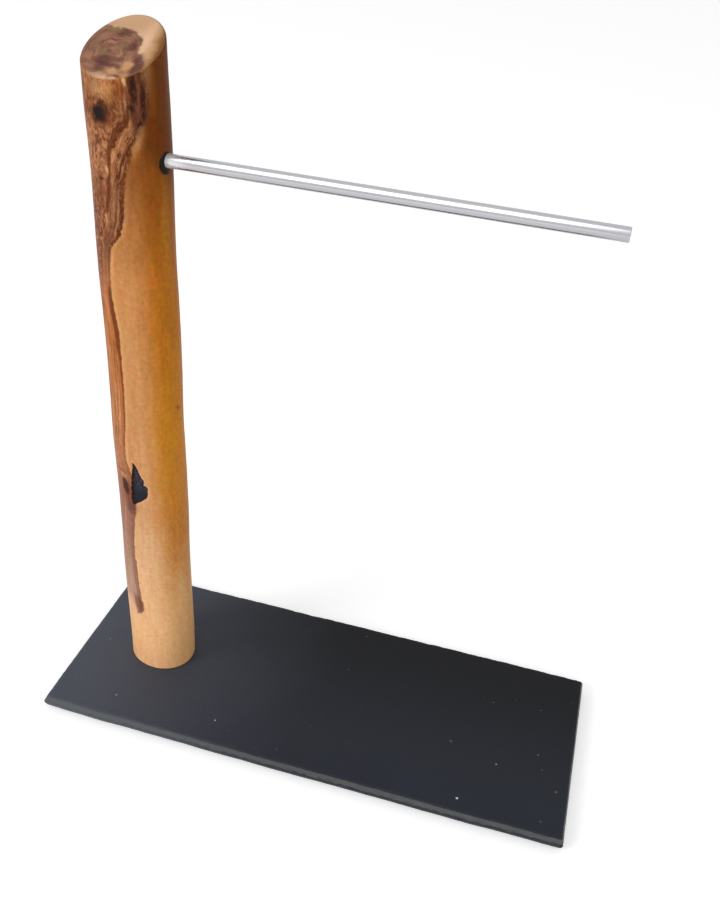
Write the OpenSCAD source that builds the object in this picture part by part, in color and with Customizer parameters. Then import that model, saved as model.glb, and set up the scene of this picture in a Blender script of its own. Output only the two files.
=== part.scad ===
// Fruit hanger: a slate base, an olive wood post cut on the slant and a slim metal rod.
// Millimetres. The origin is at the middle of the footprint, on the surface it stands on.
// +X runs along the base towards the rod's free end, +Y to the back and +Z up.

/* [Slate base] */
// Length of the slate
slate_length = 280; // [220:1:360]
// Depth of the slate, front to back, at its ends
slate_depth = 110; // [80:1:160]
// Thickness of the slate
slate_thickness = 6.4; // [5:0.2:12]
// How far the middle of the front edge stands out past its corners
front_bow = 0.9; // [0:0.1:2]
// How far the dressed edge wanders in from a straight line
edge_wander = 0.6; // [0:0.1:1.5]
// How far the lowest layer of the edge sits in from the top one
edge_undercut = 0.8; // [0:0.1:2]
// Cleavage layers that show in the edge
edge_layers = 3; // [1:1:5]
// Size of the broken corners
corner_break = 1.2; // [0.4:0.1:4]

/* [Post] */
// Height of the post at its axis, from the slate to the slanted cut
post_height = 326; // [200:1:420]
// Mean diameter of the post at its foot
post_foot_diameter = 34.8; // [28:0.2:50]
// Mean diameter of the post at its top
post_top_diameter = 34; // [28:0.2:50]
// Distance from the slate's left end to the post's axis
post_from_end = 45; // [35:1:90]
// Slant of the top cut, from level
cut_tilt = 30; // [0:1:40]
// Direction in which the top cut rises, from +X towards +Y
cut_turn = 78; // [-180:1:180]
// Radius of the sanded edge round the top cut
cut_edge_radius = 1.4; // [0.5:0.1:3]
// Radius of the sanded edge round the foot
foot_edge_radius = 0.8; // [0.3:0.1:2]
// How oval the branch is, as a share of its radius
branch_oval = 0.04; // [0:0.01:0.08]
// How three-sided the branch is, as a share of its radius
branch_lobe = 0.014; // [0:0.002:0.03]
// Height of the gentle swells along the branch
branch_swell = 0.2; // [0:0.05:0.5]

/* [Rod] */
// Diameter of the rod
rod_diameter = 6; // [4:0.5:10]
// Distance from the top of the post, at its axis, down to the rod's axis
rod_below_top = 42.3; // [36:0.1:100]
// Reach of the rod, from the post's axis to its free end
rod_reach = 203.7; // [120:0.1:240]
// How far the rod runs on past the post's axis, inside the post
rod_grip = 7; // [2:0.5:10]
// How far in front of the post's axis the rod passes
rod_forward = 2; // [0:0.1:4]
// Turn of the rod from the line of the base, its free end to the front
rod_turn = 0.8; // [0:0.1:2]
// Chamfer on both ends of the rod
rod_chamfer = 0.4; // [0.2:0.1:1]
// Clearance round the rod in its hole
rod_clearance = 0.05; // [0.02:0.01:0.2]
// Gap on the open side of the hole's worn mouth
mouth_gap = 2.8; // [0.5:0.1:3.5]
// Depth of the worn mouth, from the post's mean radius
mouth_depth = 4; // [1:0.5:8]

/* [Knots] */
// Diameter of the round knot's hollow
knot_diameter = 5; // [3:0.5:8]
// Depth of the round knot's hollow
knot_depth = 1; // [0.4:0.1:2]
// Distance from the top of the post, at its axis, down to the round knot
knot_below_top = 23; // [22:1:60]
// Place of the round knot round the post, from +X towards +Y
knot_turn = -104; // [-180:1:180]
// Length of the long bark pocket
bark_length = 24; // [10:1:40]
// Width of the long bark pocket at its widest
bark_width = 8; // [3:0.5:10]
// Depth of the long bark pocket
bark_depth = 3; // [1:0.5:5]
// Height of the widest place of the bark pocket above the slate
bark_height = 122; // [50:1:180]
// Place of the bark pocket round the post, from +X towards +Y
bark_turn = -87; // [-180:1:180]
// Lean of the bark pocket's drawn-out top to the left
bark_lean = 9; // [0:1:20]

/* [Fasteners and feet] */
// Distance between the two screws
screw_spacing = 16; // [10:1:18]
// Length of a screw
screw_length = 25; // [16:1:40]
// Diameter of a screw's shank
screw_diameter = 4; // [3:0.5:5]
// Diameter of a screw's countersunk head
screw_head_diameter = 8; // [6.5:0.5:9]
// How deep the heads lie below the underside of the slate
screw_sunk = 0.4; // [0.1:0.1:1]
// Clearance round a head in its countersink
head_clearance = 0.05; // [0.02:0.01:0.2]
// Clearance round a shank in the slate
shank_clearance = 0.3; // [0.1:0.1:0.6]
// Clearance round a shank in the post
pilot_clearance = 0.05; // [0.02:0.01:0.2]
// Diameter of a foot pad
pad_diameter = 14; // [8:1:20]
// Thickness of a foot pad
pad_thickness = 2; // [1:0.5:4]
// Distance from the slate's ends and sides to a pad's middle
pad_inset = 14; // [12:1:24]

/* [Hidden] */

$fn = 64;
past = 1; // how far a cutting shape runs past the face it cuts

slate_top = pad_thickness + slate_thickness;
post_x = post_from_end - slate_length / 2;
post_foot_radius = post_foot_diameter / 2;
post_top_radius = post_top_diameter / 2;
rod_radius = rod_diameter / 2;
rod_height = post_height - rod_below_top;
knot_height = post_height - knot_below_top;

// Places of the swells and flats of the branch round its axis
oval_turn = -25;
lobe_turn = -30;
swell_wave = 150; // height from one swell to the next
swell_turns = 1.5; // how far the swells wind round from the foot to the top

// The loft of the post: segments round it and rings along it
post_segments = 48;
post_rings = 24;
edge_rings = 4;

// The slate's dressed edge: spacing of its facets, and the lengths of its two waves
edge_step = 8;
long_wave = 61;
short_wave = 17;
layer_bond = 0.05; // how far each layer reaches up into the one above it

screw_places = [for (side = [-1, 1]) post_x + side * screw_spacing / 2];
head_height = (screw_head_diameter - screw_diameter) / 2;
screw_tip = 5; // length of the pointed end
recess_span = 0.56 * screw_head_diameter;
recess_width = 0.12 * screw_head_diameter;
recess_depth = 0.65 * head_height;

pad_edge_radius = 0.25 * pad_thickness;

// How far the edge is dressed back at a distance along it, in one layer
function dressed(run, layer) =
    edge_wander * (0.5 - 0.3 * sin(360 * run / long_wave + 97 * layer)
        - 0.2 * sin(360 * run / short_wave + 41 * layer));

// Points along one side from a to b, set in by the layer's undercut and its dressing.
// The bow stands out most at the middle of the side and is nothing at its ends.
function side(a, b, layer, bow) =
    let (
        length = norm(b - a),
        along = (b - a) / length,
        inward = [-along.y, along.x],
        steps = floor(length / edge_step),
        undercut = edge_undercut * layer / max(1, edge_layers - 1)
    )
    [for (i = [0:steps])
        let (run = corner_break + (length - 2 * corner_break) * i / steps,
            share = i / steps,
            set_in = undercut + dressed(run + length, layer) - bow * 4 * share * (1 - share))
        a + along * run + inward * set_in];

// One layer of the slate, counted from the top
module slate_layer(layer) {
    x = slate_length / 2;
    y = slate_depth / 2;
    corners = [[-x, -y], [x, -y], [x, y], [-x, y]];
    polygon([for (i = [0:3]) each side(corners[i], corners[(i + 1) % 4], layer, i == 0 ? front_bow : 0)]);
}

module slate_base() {
    layer_thickness = slate_thickness / edge_layers;
    color([0.17, 0.18, 0.21])
    difference() {
        union() {
            for (layer = [0:edge_layers - 1])
                translate([0, 0, slate_top - (layer + 1) * layer_thickness])
                    linear_extrude(layer_thickness + (layer > 0 ? layer_bond : 0))
                        slate_layer(layer);
        }
        for (x = screw_places)
            translate([x, 0, pad_thickness])
                countersunk_hole();
    }
}

// Hole for a screw, through the slate from its underside
module countersunk_hole() {
    mouth = screw_head_diameter / 2 + head_clearance;
    hole = screw_diameter / 2 + shank_clearance;
    translate([0, 0, -past])
        cylinder(r = mouth, h = screw_sunk + past);
    translate([0, 0, screw_sunk])
        cylinder(r1 = mouth, r2 = hole, h = mouth - hole);
    cylinder(r = hole, h = slate_thickness + past);
}

// Radius of the branch at a turn round its axis and a share of its height
function branch_radius(turn, share) =
    (post_foot_radius + (post_top_radius - post_foot_radius) * share)
    * (1 + branch_oval * cos(2 * (turn - oval_turn)) + branch_lobe * cos(3 * (turn - lobe_turn)))
    + branch_swell * sin(360 * share * post_height / swell_wave + turn + 360 * swell_turns * share);

// Rise of the slanted cut for each millimetre out from the axis
function cut_slope(turn) = tan(cut_tilt) * cos(turn - cut_turn);

// Where the straight side ends and the sanded edge of the cut begins
function rim_z(turn) =
    post_height + cut_slope(turn) * (branch_radius(turn, 1) - cut_edge_radius)
    - cut_edge_radius * sqrt(1 + pow(cut_slope(turn), 2));

function around(turn, radius, z) = [radius * cos(turn), radius * sin(turn), z];

// Rings of the loft, from the foot's edge, up the side and over the edge of the cut
function foot_ring(turns, share) =
    [for (t = turns) around(t, branch_radius(t, 0) - foot_edge_radius * (1 - sin(90 * share)),
        foot_edge_radius * (1 - cos(90 * share)))];
function side_ring(turns, share) =
    [for (t = turns) around(t, branch_radius(t, share),
        foot_edge_radius + (rim_z(t) - foot_edge_radius) * share)];
function rim_ring(turns, share) =
    [for (t = turns)
        let (lean = share * (90 + atan(cut_slope(t))))
        around(t, branch_radius(t, 1) - cut_edge_radius * (1 - cos(lean)), rim_z(t) + cut_edge_radius * sin(lean))];

module branch() {
    turns = [for (i = [0:post_segments - 1]) 360 * i / post_segments];
    rings = concat(
        [for (i = [0:edge_rings - 1]) foot_ring(turns, i / edge_rings)],
        [for (i = [0:post_rings]) side_ring(turns, i / post_rings)],
        [for (i = [1:edge_rings]) rim_ring(turns, i / edge_rings)]
    );
    last = len(rings) - 1;
    n = post_segments;
    walls = [for (r = [0:last - 1], i = [0:n - 1])
        let (j = (i + 1) % n)
        each [[r * n + i, (r + 1) * n + i, r * n + j], [r * n + j, (r + 1) * n + i, (r + 1) * n + j]]];
    foot = [for (i = [0:n - 1]) i];
    top = [for (i = [n - 1:-1:0]) last * n + i];
    polyhedron(points = [for (ring = rings) each ring], faces = concat(walls, [foot, top]), convexity = 4);
}

// Puts its children on the rod's axis, with their +X along the rod and 0 at the post's axis
module on_rod() {
    translate([0, -rod_forward, rod_height])
        rotate([0, 0, -rod_turn])
            children();
}

// Blind hole that grips the rod, and the worn mouth that opens it towards the front
module rod_hole() {
    widest = max(post_foot_radius, post_top_radius) * (1 + branch_oval + branch_lobe) + branch_swell + past;
    mouth_radius = rod_radius + mouth_gap / 2;
    on_rod() {
        translate([-rod_grip, 0, 0])
            rotate([0, 90, 0])
                cylinder(r = rod_radius + rod_clearance, h = rod_grip + widest);
        translate([post_top_radius - mouth_depth, -mouth_gap / 2, 0])
            rotate([0, 90, 0])
                cylinder(r = mouth_radius, h = mouth_depth + widest - post_top_radius);
    }
}

// Radius of the ball that leaves a hollow of this width and depth in a surface
function hollow_radius(width, depth) = (pow(width / 2, 2) + pow(depth, 2)) / (2 * depth);

// Shallow round hollow where a small branch stood
module knot_hollow() {
    r = hollow_radius(knot_diameter, knot_depth);
    surface = branch_radius(knot_turn, knot_height / post_height);
    translate(around(knot_turn, surface + r - knot_depth, knot_height))
        sphere(r = r);
}

// Long pocket where bark was enclosed: blunt below its widest place and drawn out to the top
module bark_pocket() {
    r = hollow_radius(bark_width, bark_depth);
    surface = branch_radius(bark_turn, bark_height / post_height);
    translate(around(bark_turn, surface + r - bark_depth, bark_height))
        rotate([0, -bark_lean, bark_turn + 90])
            rotate_extrude()
                polygon([
                    [0, -0.36 * bark_length], [0.45 * r, -0.32 * bark_length], [0.85 * r, -0.18 * bark_length],
                    [r, 0], [0.85 * r, 0.16 * bark_length], [0.6 * r, 0.36 * bark_length], [0, 0.68 * bark_length]
                ]);
}

module post() {
    color([0.72, 0.47, 0.24])
    translate([post_x, 0, slate_top])
        difference() {
            branch();
            rod_hole();
            knot_hollow();
            bark_pocket();
            for (x = screw_places)
                translate([x - post_x, 0, -past])
                    cylinder(d = screw_diameter + 2 * pilot_clearance,
                        h = past + screw_sunk + screw_length - slate_thickness);
        }
}

module hanging_rod() {
    r = rod_radius;
    c = rod_chamfer;
    length = rod_grip + rod_reach;
    color([0.8, 0.8, 0.82])
    translate([post_x, 0, slate_top])
        on_rod()
            translate([-rod_grip, 0, 0])
                rotate([0, 90, 0])
                    rotate_extrude()
                        polygon([[0, 0], [r - c, 0], [r, c], [r, length - c], [r - c, length], [0, length]]);
}

// Countersunk wood screw, head down, with its head's flat face at the origin
module wood_screw() {
    shank = screw_diameter / 2;
    head = screw_head_diameter / 2;
    difference() {
        rotate_extrude()
            polygon([
                [0, 0], [head, 0], [shank, head_height],
                [shank, screw_length - screw_tip], [0, screw_length]
            ]);
        for (turn = [45, 135])
            rotate([0, 0, turn])
                translate([-recess_span / 2, -recess_width / 2, -past])
                    cube([recess_span, recess_width, past + recess_depth]);
    }
}

module post_screws() {
    color([0.62, 0.62, 0.6])
    for (x = screw_places)
        translate([x, 0, pad_thickness + screw_sunk])
            wood_screw();
}

// Round pad stuck under a corner: sx is -1 at the left and sy is -1 at the front
module foot_pad(sx, sy) {
    r = pad_diameter / 2;
    e = pad_edge_radius;
    color([0.12, 0.12, 0.13])
    translate([sx * (slate_length / 2 - pad_inset), sy * (slate_depth / 2 - pad_inset), 0])
        rotate_extrude()
            polygon(concat(
                [[0, 0]],
                [for (a = [0:22.5:90]) [r - e + e * sin(a), e - e * cos(a)]],
                [[r, pad_thickness], [0, pad_thickness]]
            ));
}

slate_base();
post();
hanging_rod();
post_screws();
foot_pad(-1, -1);  // foot_pad_front_left
foot_pad(1, -1);  // foot_pad_front_right
foot_pad(-1, 1);  // foot_pad_back_left
foot_pad(1, 1);  // foot_pad_back_right
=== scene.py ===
"""Fruit hanger: an olive branch on a slate base, with a slim metal rod to hang fruit on.

The script is laid out as an add-on. Its sizes follow the packed model: +X runs along the base
towards the rod's free end, +Y to the back and +Z up. Geometry trees and materials work in
millimetres, because that is how the pieces are drawn.
"""

import math

import bmesh
import bpy
from bpy.props import FloatProperty, FloatVectorProperty, PointerProperty
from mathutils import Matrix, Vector


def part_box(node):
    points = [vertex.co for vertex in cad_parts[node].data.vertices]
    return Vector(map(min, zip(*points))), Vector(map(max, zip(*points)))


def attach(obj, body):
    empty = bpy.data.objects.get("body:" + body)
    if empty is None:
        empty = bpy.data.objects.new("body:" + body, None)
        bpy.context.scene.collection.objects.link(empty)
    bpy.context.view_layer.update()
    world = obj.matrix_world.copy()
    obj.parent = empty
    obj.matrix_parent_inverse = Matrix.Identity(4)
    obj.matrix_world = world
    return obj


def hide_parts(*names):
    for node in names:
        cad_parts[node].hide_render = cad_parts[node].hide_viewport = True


bl_info = {
    "name": "Olive wood fruit hanger",
    "version": (1, 0, 0),
    "blender": (4, 5, 0),
    "location": "3D View > Sidebar > Hanger",
    "description": "Builds a fruit hanger of slate, olive wood and metal, piece by piece",
    "category": "Object",
}

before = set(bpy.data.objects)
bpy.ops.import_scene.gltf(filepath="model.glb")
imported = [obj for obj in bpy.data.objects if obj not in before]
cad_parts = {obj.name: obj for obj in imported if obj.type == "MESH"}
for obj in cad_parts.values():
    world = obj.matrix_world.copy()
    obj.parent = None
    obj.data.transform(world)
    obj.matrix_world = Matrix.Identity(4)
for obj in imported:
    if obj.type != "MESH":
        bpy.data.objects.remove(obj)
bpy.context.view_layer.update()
MM = 0.001
TAU = 2 * math.pi

SLATE_LOW, SLATE_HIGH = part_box("slate_base")
SCREWS_LOW, SCREWS_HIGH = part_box("post_screws")
PADS = [name for name in sorted(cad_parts) if name.startswith("foot_pad_")]
POST_X = (SCREWS_LOW.x + SCREWS_HIGH.x) / 2
POST_FOOT = Vector((POST_X, 0, SLATE_HIGH.z))
# The side of the post that is seen, and the radius by which distances round it are counted.
SEEN_TURN = math.radians(-80)
MEAN_RADIUS = 17.2
# The slate's larger pale specks: x, y and radius.
SPECKS = [(85.5, -46.9, 0.55), (-104.0, -41.0, 0.3), (101.0, -20.0, 0.3), (-47.0, -40.0, 0.35)]


class Value:
    """A node socket that takes part in sums: each operator on it adds a Math node."""

    def __init__(self, graph, socket):
        self.graph = graph
        self.socket = socket

    def __add__(self, other):
        return self.graph.math("ADD", self, other)

    def __radd__(self, other):
        return self.graph.math("ADD", other, self)

    def __sub__(self, other):
        return self.graph.math("SUBTRACT", self, other)

    def __rsub__(self, other):
        return self.graph.math("SUBTRACT", other, self)

    def __mul__(self, other):
        return self.graph.math("MULTIPLY", self, other)

    def __rmul__(self, other):
        return self.graph.math("MULTIPLY", other, self)

    def __truediv__(self, other):
        return self.graph.math("DIVIDE", self, other)

    def __neg__(self):
        return self.graph.math("MULTIPLY", self, -1.0)


class Graph:
    """A node tree that is written as expressions on Values."""

    def __init__(self, tree):
        self.tree = tree

    def node(self, kind, settings=None, sockets=None, out=0):
        """Adds a node. Settings are set first, then each socket gets its value or its link."""
        made = self.tree.nodes.new(kind)
        for name, setting in (settings or {}).items():
            if name == "stops":
                self.set_stops(made.color_ramp, setting)
            elif name == "points":
                self.set_points(made.mapping, setting)
            else:
                setattr(made, name, setting)
        for key, value in (sockets or {}).items():
            self.feed(self.find(made.inputs, key), value)
        return Value(self, self.find(made.outputs, out))

    @staticmethod
    def find(sockets, key):
        if isinstance(key, int):
            return sockets[key]
        return next(s for s in sockets if key in (s.identifier, s.name))

    def feed(self, socket, value):
        if isinstance(value, Value):
            self.tree.links.new(value.socket, socket)
        elif socket.type == "RGBA" and len(value) == 3:
            socket.default_value = (*value, 1.0)
        else:
            socket.default_value = value

    @staticmethod
    def set_stops(ramp, stops):
        while len(ramp.elements) < len(stops):
            ramp.elements.new(1.0)
        for element, (place, colour) in zip(ramp.elements, stops):
            element.position = place
            element.color = (*colour, 1.0)

    @staticmethod
    def set_points(mapping, points):
        """Lays a curve through points that run from 0 to 1 both ways."""
        curve = mapping.curves[0]
        while len(curve.points) < len(points):
            curve.points.new(0.5, 0.5)
        for point, place in zip(curve.points, points):
            point.location = place
            point.handle_type = "AUTO_CLAMPED"
        mapping.update()

    def math(self, operation, *operands):
        return self.node("ShaderNodeMath", {"operation": operation}, dict(enumerate(operands)))

    def sin(self, angle):
        return self.math("SINE", angle)

    def cos(self, angle):
        return self.math("COSINE", angle)

    def hypot(self, across, up):
        return self.math("SQRT", across * across + up * up)

    def clamp(self, value):
        return self.node("ShaderNodeClamp", None, {"Value": value})

    def rise(self, value, low, high, kind="SMOOTHSTEP"):
        """0 at low, 1 at high and held there; low may be above high."""
        return self.node("ShaderNodeMapRange", {"interpolation_type": kind},
                         {"Value": value, "From Min": low, "From Max": high})

    def curve(self, value, points):
        """A smooth line through (value, result) points, held past its ends."""
        places, results = zip(*points)
        low, high = min(results), max(results)
        span = places[-1] - places[0]
        share = (value - places[0]) / span
        line = [((p - places[0]) / span, (r - low) / (high - low)) for p, r in points]
        return self.node("ShaderNodeFloatCurve", {"points": line}, {"Value": share}) * (high - low) + low

    def hill(self, value, middle, half, soft):
        """1 within half of the middle, falling to 0 over a soft border."""
        return self.rise(self.math("ABSOLUTE", value - middle), half + soft, half)

    def vector(self, x, y, z):
        return self.node("ShaderNodeCombineXYZ", None, {"X": x, "Y": y, "Z": z})

    def parts(self, vector):
        made = self.node("ShaderNodeSeparateXYZ", None, {"Vector": vector}).socket.node
        return [Value(self, socket) for socket in made.outputs]

    def vector_math(self, operation, *operands, out=0, **sockets):
        return self.node("ShaderNodeVectorMath", {"operation": operation},
                         {**dict(enumerate(operands)), **sockets}, out)

    def noise(self, vector, scale, detail=2.0, roughness=0.5, distortion=0.0, out="Fac"):
        return self.node("ShaderNodeTexNoise", None, {
            "Vector": vector, "Scale": scale, "Detail": detail, "Roughness": roughness,
            "Distortion": distortion}, out)

    def waver(self, vector, scale, detail=2.0):
        """Noise that swings about 0, from -0.5 to 0.5."""
        return self.noise(vector, scale, detail) - 0.5

    def mix(self, share, first, second, blend="MIX"):
        return self.node("ShaderNodeMix", {"data_type": "RGBA", "blend_type": blend},
                         {"Factor_Float": share, "A_Color": first, "B_Color": second}, "Result_Color")

    def shaded(self, colour, level):
        """Darkens a colour where the level is below 0 and lightens it above."""
        level = level + 0.5
        return self.mix(1.0, colour, self.vector(level, level, level), "OVERLAY")


class Material(Graph):
    """A material whose graph ends in one Principled shader."""

    def __init__(self, name, **constants):
        self.material = bpy.data.materials.new(name)
        self.material.use_nodes = True
        super().__init__(self.material.node_tree)
        self.shader = self.tree.nodes["Principled BSDF"]
        self.drive(**constants)

    def position(self, origin=(0, 0, 0)):
        """Object coordinates in millimetres, counted from an origin in metres."""
        place = self.node("ShaderNodeTexCoord", out="Object")
        place = self.vector_math("SUBTRACT", place, tuple(origin))
        return self.vector_math("SCALE", place, Scale=1 / MM)

    def drive(self, **values):
        for name, value in values.items():
            self.feed(self.shader.inputs[name.replace("_", " ")], value)

    def relief(self, height, depth):
        """Bump from a height in millimetres, with the given depth for a height of 1."""
        self.drive(Normal=self.node("ShaderNodeBump", None, {"Height": height, "Distance": depth * MM}))


class Form(Graph):
    """A geometry tree with named inputs, drawn in millimetres, that grows into a plain mesh."""

    def __init__(self, name, **inputs):
        super().__init__(bpy.data.node_groups.new(name, "GeometryNodeTree"))
        self.name = name
        self.given = {}
        self.tree.interface.new_socket("Geometry", in_out="OUTPUT", socket_type="NodeSocketGeometry")
        for label, value in inputs.items():
            title = label.replace("_", " ").capitalize()
            item = self.tree.interface.new_socket(title, in_out="INPUT", socket_type="NodeSocketFloat")
            self.given[item.identifier] = value
        group = self.tree.nodes.new("NodeGroupInput")
        for label, socket in zip(inputs, group.outputs):
            setattr(self, label, Value(self, socket))

    def place(self, geometry, position):
        return self.node("GeometryNodeSetPosition", None, {"Geometry": geometry, "Position": position})

    def sheet(self, rows, around):
        """A grid with its own shares: 0 to 1 along its rows, and 0 to 1 round."""
        grid = self.node("GeometryNodeMeshGrid", None, {
            "Size X": 1.0, "Size Y": 1.0, "Vertices X": rows + 1, "Vertices Y": around + 1})
        along, round_share, _ = self.parts(self.node("GeometryNodeInputPosition"))
        return grid, along + 0.5, round_share + 0.5

    def stages(self, along, counts):
        """Splits a sheet's rows into stages: each share runs from 0 to 1 over its own rows."""
        row = along * float(sum(counts))
        starts = [sum(counts[:i]) for i in range(len(counts))]
        return [self.clamp((row - float(start)) / float(count)) for start, count in zip(starts, counts)]

    def closed(self, geometry, within=0.004):
        """Joins the seam and the poles of a sheet that was wrapped round."""
        return self.node("GeometryNodeMergeByDistance", None, {"Geometry": geometry, "Distance": within})

    def turned(self, share, radius, height):
        """Points on a lathe about Z; the faces of a sheet placed so point outwards."""
        turn = share * -TAU
        return self.vector(radius * self.cos(turn), radius * self.sin(turn), height)

    def lathe(self, profile, around, ridge=None):
        """A closed turned shape about Z through (radius, height, rows) points, from axis to axis."""
        counts = [rows for _, _, rows in profile[1:]]
        sheet, along, round_share = self.sheet(sum(counts), around)
        radius, height, _ = profile[0]
        for share, last, point in zip(self.stages(along, counts), profile, profile[1:]):
            radius = radius + share * (point[0] - last[0])
            height = height + share * (point[1] - last[1])
        if ridge:
            radius = radius + ridge(height, round_share)
        return self.closed(self.place(sheet, self.turned(round_share, radius, height)), 0.0005)

    def moved(self, geometry, **sockets):
        return self.node("GeometryNodeTransform", None, {"Geometry": geometry, **sockets})

    def cut(self, geometry, *cutters):
        joined = self.node("GeometryNodeJoinGeometry")
        for cutter in cutters:
            self.tree.links.new(cutter.socket, joined.socket.node.inputs[0])
        return self.node("GeometryNodeMeshBoolean", {"operation": "DIFFERENCE", "solver": "EXACT"},
                         {"Mesh 1": geometry, "Mesh 2": joined})

    def grow(self, geometry, material, origin=(0, 0, 0), sharp=40):
        """Ends the tree, evaluates it and returns an object with the plain mesh."""
        sized = self.moved(geometry, Translation=tuple(origin), Scale=(MM, MM, MM))
        real = self.node("GeometryNodeRealizeInstances", None, {"Geometry": sized})
        dressed = self.node("GeometryNodeSetMaterial", None, {
            "Geometry": real, "Material": material.material})
        end = self.tree.nodes.new("NodeGroupOutput")
        self.tree.links.new(dressed.socket, end.inputs["Geometry"])
        seed = bpy.data.objects.new(self.name, bpy.data.meshes.new(self.name))
        bpy.context.collection.objects.link(seed)
        modifier = seed.modifiers.new(self.name, "NODES")
        modifier.node_group = self.tree
        for identifier, value in self.given.items():
            modifier[identifier] = value
        depsgraph = bpy.context.evaluated_depsgraph_get()
        mesh = bpy.data.meshes.new_from_object(seed.evaluated_get(depsgraph))
        seed.modifiers.clear()
        seed.data = mesh
        if not mesh.polygons:
            raise RuntimeError(f"{self.name} has no faces")
        mesh.shade_smooth()
        mesh.set_sharp_from_angle(angle=math.radians(sharp))
        return seed


def settle(piece, slot, *nodes):
    """Ties a finished piece to the model's root and hides the parts that it stands for; the slot, meant to
    name its finish, is not used.
    """
    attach(piece, "root")
    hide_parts(*nodes)


def paint(red, green, blue):
    """A colour as a screen shows it, 0 to 255 each, on the renderer's own even scale."""
    return tuple(((c / 255 + 0.055) / 1.055) ** 2.4 for c in (red, green, blue))


def drawn(settings, *names):
    """The named lengths of some settings in millimetres, as inputs for a form."""
    return {name: getattr(settings, name) / MM for name in names}


def distance(millimetres, name, description):
    return FloatProperty(name=name, description=description, default=millimetres * MM, unit="LENGTH",
                         precision=4)


def degrees(value, name, description):
    return FloatProperty(name=name, description=description, default=math.radians(value), subtype="ANGLE")


def fraction(value, name, description):
    return FloatProperty(name=name, description=description, default=value, subtype="FACTOR")


def tint(red, green, blue, name, description):
    return FloatVectorProperty(name=name, description=description, default=paint(red, green, blue), size=3,
                               min=0.0, max=1.0, subtype="COLOR")


def watts(value, name, description):
    return FloatProperty(name=name, description=description, default=value, unit="POWER")


class PostSettings(bpy.types.PropertyGroup):
    """Sizes of the olive wood post."""

    height: distance(326.0, "Height", "Height at the axis, up to the slanted cut")
    foot_diameter: distance(34.8, "Foot diameter", "Mean diameter at the foot")
    top_diameter: distance(34.0, "Top diameter", "Mean diameter at the top")
    cut_tilt: degrees(30.0, "Cut tilt", "Slant of the top cut")
    cut_turn: degrees(78.0, "Cut turn", "Direction in which the cut rises")
    cut_edge: distance(1.4, "Cut edge", "Radius of the sanded edge round the cut")
    foot_edge: distance(0.8, "Foot edge", "Radius of the sanded edge round the foot")
    oval: fraction(0.04, "Oval", "Ovalness of the branch")
    lobe: fraction(0.014, "Lobe", "Three-sidedness of the branch")
    swell: distance(0.2, "Swell", "Height of the gentle swells along the branch")
    mouth: distance(1.4, "Mouth", "How far the worn mouth stands off the rod")


class WoodSettings(bpy.types.PropertyGroup):
    """Colours of the olive wood, beside those of its height tables."""

    blush: tint(240, 184, 134, "Blush", "Fresh wood beside the heartwood")
    tan: tint(212, 160, 112, "Tan", "Pale patches in the heartwood")
    # Orange and gold: the warm right side, partly the wood's own colour and partly a painted warm
    # reflection.
    orange: tint(196, 112, 26, "Orange", "Warm band on the right")
    gold: tint(186, 128, 40, "Gold", "Golden band at the far right")
    ochre: tint(182, 116, 52, "Ochre", "Yellow brown patches")
    umber: tint(107, 55, 13, "Umber", "Brown sapwood above the rod")
    russet: tint(130, 58, 18, "Russet", "Reddish patches and flecks")
    cocoa: tint(98, 48, 26, "Cocoa", "Dark brown lines and patches")
    maroon: tint(52, 20, 14, "Maroon", "Darkest streaks and knots")
    cinnamon: tint(146, 96, 66, "Cinnamon", "Calm heartwood at the left of the valley")
    rose: tint(118, 74, 52, "Rose", "Light flecks in the dark streak")
    walnut: tint(82, 46, 28, "Walnut", "Brown of the dark streak")
    pink: tint(214, 166, 150, "Pink", "Pale wood beside the strip's lower end")
    # Soot and shade: the inside of the knot and of the rod's mouth, partly their own dark colour and partly
    # painted shade in the hollows.
    soot_and_shade: tint(36, 28, 24, "Soot", "Inside of the knot and of the rod's mouth")
    bark: tint(44, 42, 48, "Bark", "Dry bark in the pocket")
    flake: tint(64, 62, 68, "Flake", "Light flakes of the bark")
    bark_foot: tint(34, 40, 48, "Bark foot", "Bark at the pocket's lower end")
    cut_heart: tint(134, 92, 72, "Cut heart", "Heartwood of the slanted cut")
    cut_dark: tint(96, 58, 52, "Cut dark", "Dark rings of the cut")
    cut_light: tint(164, 118, 90, "Cut light", "Light rings of the cut")
    cut_olive: tint(136, 108, 74, "Cut olive", "Greenish patches of the cut")
    cut_orange: tint(204, 162, 125, "Cut orange", "Sapwood of the cut at the left")
    # Cut pale: the sapwood's own pale colour, and in part a painted sheen on the right of the cut.
    cut_pale: tint(230, 188, 152, "Cut pale", "Sapwood of the cut at the right")
    # Cut edge: painted shade, laid towards the cut's right rim and on its rounded rim.
    cut_edge: tint(172, 124, 72, "Cut edge", "Sapwood towards the cut's right rim")


class SlateSettings(bpy.types.PropertyGroup):
    """Sizes and colours of the slate base."""

    length: distance(280.0, "Length", "Length along the rod")
    depth: distance(110.0, "Depth", "Depth from front to back")
    bow: distance(0.9, "Bow", "How far the front edge bows out")
    front: tint(38, 41, 50, "Front", "Stone at the front and the right")
    back: tint(20, 21, 24, "Back", "Stone along the back")
    # Left: a painted sheen, the stone shown paler at the left where it reflects the light.
    left: tint(80, 84, 95, "Left", "Paler stone at the left")
    # Edge: freshly broken stone, and in part a painted highlight on the edges' upper band.
    edge: tint(92, 94, 92, "Edge", "Freshly broken stone of the edges")
    speck: tint(206, 210, 214, "Speck", "Small pale specks")


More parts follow.
